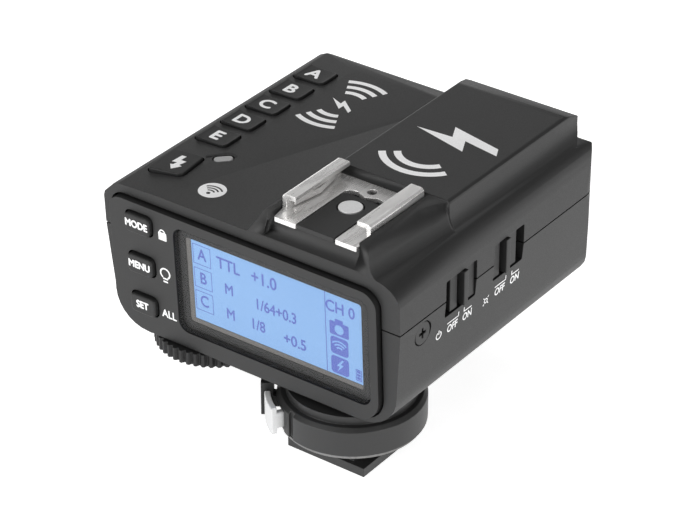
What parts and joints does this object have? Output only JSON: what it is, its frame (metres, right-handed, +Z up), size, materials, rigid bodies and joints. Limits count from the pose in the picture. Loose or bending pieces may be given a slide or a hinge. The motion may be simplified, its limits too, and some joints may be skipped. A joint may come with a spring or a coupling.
{
  "type": "wireless flash trigger",
  "caption": "Radio flash trigger with a display, keys and dial, an accessory shoe on its raised tower and a locking shoe foot underneath.",
  "frame": {"origin": "centre of the foot plate's lower face", "axes": "+X towards the slide switches, +Y away from the display, +Z up through the foot and the accessory shoe"},
  "size_m": [0.0721, 0.0733, 0.0574],
  "materials": {
    "cover_plastic": "fine textured, black",
    "key_plastic": "smooth matt, black",
    "smoked_window": "polished, smoked",
    "screen": "backlit film",
    "shoe_steel": "nickel-plated sheet",
    "contact_gold": "gold-plated",
    "board": "solder mask",
    "light_pipe": "translucent grey",
    "lamp_red": "deep red, clear",
    "cell_wrap": "printed sleeve"
  },
  "bodies": {
    "housing": {"top_cover": "cover_plastic", "bottom_cover": "cover_plastic", "rear_panel": "cover_plastic", "foot_collar": "cover_plastic", "display_window": "smoked_window", "display_module": "screen", "shoe_contact_block": "key_plastic", "foot_plate": "key_plastic", "sync_jack": "key_plastic", "status_light": "light_pipe", "hot_shoe_bracket": "shoe_steel", "left_shoe_spring": "shoe_steel", "right_shoe_spring": "shoe_steel", "shoe_centre_contact": "shoe_steel", "power_switch_body": "shoe_steel", "focus_lamp_switch_body": "shoe_steel", "case_screw_right": "shoe_steel", "dial_encoder": "shoe_steel", "wear_plate": "shoe_steel", "lock_spring": "shoe_steel", "radio_module": "shoe_steel", "battery_link_plate": "shoe_steel", "battery_contact_plate": "shoe_steel", "usb_port": "shoe_steel", "foot_contact_1": "contact_gold", "foot_contact_2": "contact_gold", "foot_contact_3": "contact_gold", "foot_contact_4": "contact_gold", "foot_contact_5": "contact_gold", "main_board": "board", "key_board": "board", "button_board": "board", "battery_cell_1": "cell_wrap", "battery_cell_2": "cell_wrap", "focus_lamp_lens": "lamp_red"},
    "mode_button": {"mode_button": "key_plastic"},
    "menu_button": {"menu_button": "key_plastic"},
    "set_button": {"set_button": "key_plastic"},
    "group_key_a": {"group_key_a": "key_plastic"},
    "group_key_b": {"group_key_b": "key_plastic"},
    "group_key_c": {"group_key_c": "key_plastic"},
    "group_key_d": {"group_key_d": "key_plastic"},
    "group_key_e": {"group_key_e": "key_plastic"},
    "test_button": {"test_button": "key_plastic"},
    "select_dial": {"select_dial": "cover_plastic"},
    "power_switch": {"power_switch": "key_plastic"},
    "focus_lamp_switch": {"focus_lamp_switch": "key_plastic"},
    "lock_pin": {"lock_pin": "shoe_steel"},
    "battery_door": {"battery_door": "cover_plastic"},
    "lock_lever": {"lock_lever": "key_plastic", "lock_lever_tab": "light_pipe"}
  },
  "joints": [
    {"name": "mode_button_press", "type": "slide", "parent": "housing", "child": "mode_button", "axis": [0, 0.9989, 0.046], "range_m": [0, 0.0008], "stiffness_N_per_m": 700, "springref_m": -0.0003},
    {"name": "menu_button_press", "type": "slide", "parent": "housing", "child": "menu_button", "axis": [0, 0.9989, 0.046], "range_m": [0, 0.0008], "stiffness_N_per_m": 700, "springref_m": -0.0003},
    {"name": "set_button_press", "type": "slide", "parent": "housing", "child": "set_button", "axis": [0, 0.9989, 0.046], "range_m": [0, 0.0008], "stiffness_N_per_m": 700, "springref_m": -0.0003},
    {"name": "group_key_a_press", "type": "slide", "parent": "housing", "child": "group_key_a", "axis": [0, 0, -1], "range_m": [0, 0.0008], "stiffness_N_per_m": 700, "springref_m": -0.0003},
    {"name": "group_key_b_press", "type": "slide", "parent": "housing", "child": "group_key_b", "axis": [0, 0, -1], "range_m": [0, 0.0008], "stiffness_N_per_m": 700, "springref_m": -0.0003},
    {"name": "group_key_c_press", "type": "slide", "parent": "housing", "child": "group_key_c", "axis": [0, 0, -1], "range_m": [0, 0.0008], "stiffness_N_per_m": 700, "springref_m": -0.0003},
    {"name": "group_key_d_press", "type": "slide", "parent": "housing", "child": "group_key_d", "axis": [0, 0, -1], "range_m": [0, 0.0008], "stiffness_N_per_m": 700, "springref_m": -0.0003},
    {"name": "group_key_e_press", "type": "slide", "parent": "housing", "child": "group_key_e", "axis": [0, 0, -1], "range_m": [0, 0.0008], "stiffness_N_per_m": 700, "springref_m": -0.0003},
    {"name": "test_button_press", "type": "slide", "parent": "housing", "child": "test_button", "axis": [0, 0, -1], "range_m": [0, 0.0008], "stiffness_N_per_m": 700, "springref_m": -0.0003},
    {"name": "select_dial_turn", "type": "hinge", "parent": "housing", "child": "select_dial", "pos_m": [-0.0334, -0.0009, 0.013], "axis": [0, 0, 1], "continuous": true},
    {"name": "power_switch_slide", "type": "slide", "parent": "housing", "child": "power_switch", "axis": [0, 1, 0], "range_m": [-0.0019, 0]},
    {"name": "focus_lamp_switch_slide", "type": "slide", "parent": "housing", "child": "focus_lamp_switch", "axis": [0, 1, 0], "range_m": [0, 0.0019]},
    {"name": "lock_lever_turn", "type": "hinge", "parent": "housing", "child": "lock_lever", "pos_m": [0, 0, 0.0096], "axis": [0, 0, -1], "range_deg": [0, 26]},
    {"name": "lock_pin_drop", "type": "slide", "parent": "housing", "child": "lock_pin", "axis": [0, 0, -1], "range_m": [0, 0.0014], "deforming": ["lock_spring"]},
    {"name": "battery_door_slide", "type": "slide", "parent": "housing", "child": "battery_door", "axis": [-1, 0, 0], "range_m": [0, 0.008]}
  ],
  "couplings": [
    {"joint": "lock_pin_drop", "follows": "lock_lever_turn", "m_per_rad": 0.00308}
  ]
}
